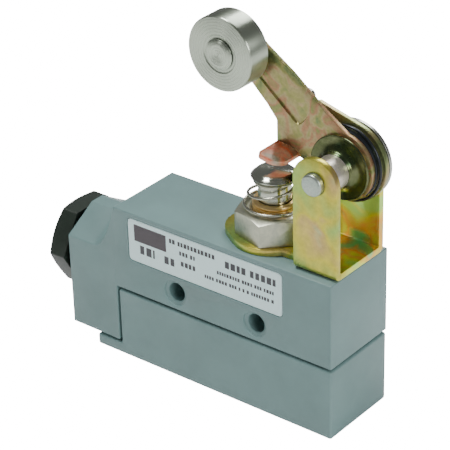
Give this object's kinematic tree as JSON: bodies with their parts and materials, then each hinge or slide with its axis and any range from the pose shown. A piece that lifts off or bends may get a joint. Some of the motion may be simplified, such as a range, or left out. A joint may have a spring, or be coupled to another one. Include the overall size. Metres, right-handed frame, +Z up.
{
  "type": "limit switch",
  "caption": "Enclosed one-way roller-arm limit switch: die-cast box with plunger, pivoted trip dog, roller lever, cable gland and snap switch inside.",
  "frame": {"origin": "on the rear mounting face, midway between the two mounting bores", "axes": "+X towards the lever bracket, +Y out of the rear mounting face, +Z up towards the roller"},
  "size_m": [0.0963, 0.0249, 0.1027],
  "materials": {
    "paint": "semi-gloss grey-green paint on die-cast metal",
    "label": "pale grey label film with dark printed blocks",
    "yellow_zinc": "yellow zinc-plated steel sheet, iridescent",
    "dark_zinc": "dark olive zinc-plated turned steel",
    "bright_zinc": "bright zinc-plated steel",
    "turned_steel": "turned steel, satin",
    "spring_steel": "drawn spring steel wire",
    "black_oxide": "glossy blue-black oxide",
    "brass": "turned brass",
    "rubber": "matte black rubber",
    "gland_plastic": "black-olive moulded plastic, satin",
    "phenolic": "brown moulded phenolic",
    "red_acetal": "red acetal",
    "spring_copper": "copper alloy spring strip",
    "contact_silver": "silver contact",
    "fibre": "grey insulating fibre sheet"
  },
  "bodies": {
    "body": {"housing": "paint", "cover": "paint", "cover_gasket": "rubber", "cover_screw_1": "bright_zinc", "cover_screw_2": "bright_zinc", "cover_screw_3": "bright_zinc", "insulating_liner": "fibre", "nameplate": "label", "bracket": "yellow_zinc", "bushing": "brass", "bushing_gasket": "rubber", "bushing_nut": "bright_zinc", "return_spring": "spring_steel", "pivot_pin": "bright_zinc", "pin_retainer": "spring_steel", "pin_collar": "bright_zinc", "pivot_washer": "bright_zinc", "gland_body": "gland_plastic", "gland_nut": "gland_plastic", "gland_seal": "rubber", "switch_case": "phenolic", "switch_base": "phenolic", "upper_contact": "contact_silver", "terminal_common": "brass", "terminal_normally_closed": "brass", "terminal_normally_open": "brass", "terminal_screw_1": "bright_zinc", "terminal_screw_2": "bright_zinc", "terminal_screw_3": "bright_zinc", "ground_screw": "bright_zinc"},
    "trip_dog": {"trip_dog": "yellow_zinc", "pivot_spacer": "black_oxide", "torsion_spring": "black_oxide"},
    "roller_arm": {"roller_arm": "yellow_zinc", "hub_flange": "dark_zinc", "thrust_washer": "yellow_zinc", "arm_stud": "bright_zinc", "roller_rivet": "turned_steel", "roller_standoff": "bright_zinc"},
    "roller": {"roller": "turned_steel"},
    "plunger": {"plunger": "turned_steel", "overtravel_spring": "spring_steel"},
    "switch_pin": {"drive_pin": "turned_steel", "switch_pin": "red_acetal"},
    "snap_blade": {"snap_blade": "spring_copper", "moving_contact": "contact_silver"}
  },
  "joints": [
    {"name": "trip", "type": "hinge", "parent": "body", "child": "trip_dog", "pos_m": [0.02985, -0.0125, 0.04365], "axis": [0, -1, 0], "range_deg": [0, 17], "stiffness_Nm_per_rad": 0.4, "springref_deg": -11.46},
    {"name": "arm_free", "type": "hinge", "parent": "trip_dog", "child": "roller_arm", "pos_m": [0.02985, -0.0125, 0.04365], "axis": [0, 1, 0], "range_deg": [0, 85], "stiffness_Nm_per_rad": 0.03, "springref_deg": -57.3},
    {"name": "roller_spin", "type": "hinge", "parent": "roller_arm", "child": "roller", "pos_m": [0.00066, -0.0125, 0.06814], "axis": [0, 1, 0], "continuous": true},
    {"name": "plunge", "type": "slide", "parent": "body", "child": "plunger", "axis": [0, 0, -1], "range_m": [0, 0.0027], "deforming": ["return_spring", "overtravel_spring"]},
    {"name": "pin_push", "type": "slide", "parent": "body", "child": "switch_pin", "axis": [0, 0, -1], "range_m": [0, 0.00135]},
    {"name": "blade_snap", "type": "hinge", "parent": "body", "child": "snap_blade", "pos_m": [-0.0195, -0.0125, 0.0071], "axis": [0, 1, 0], "range_deg": [0, 2.7]}
  ],
  "couplings": [
    {"joint": "plunge", "follows": "trip", "m_per_rad": 0.0088},
    {"joint": "pin_push", "follows": "trip", "m_per_rad": 0.0044},
    {"joint": "blade_snap", "follows": "trip", "ratio": 0.145}
  ]
}
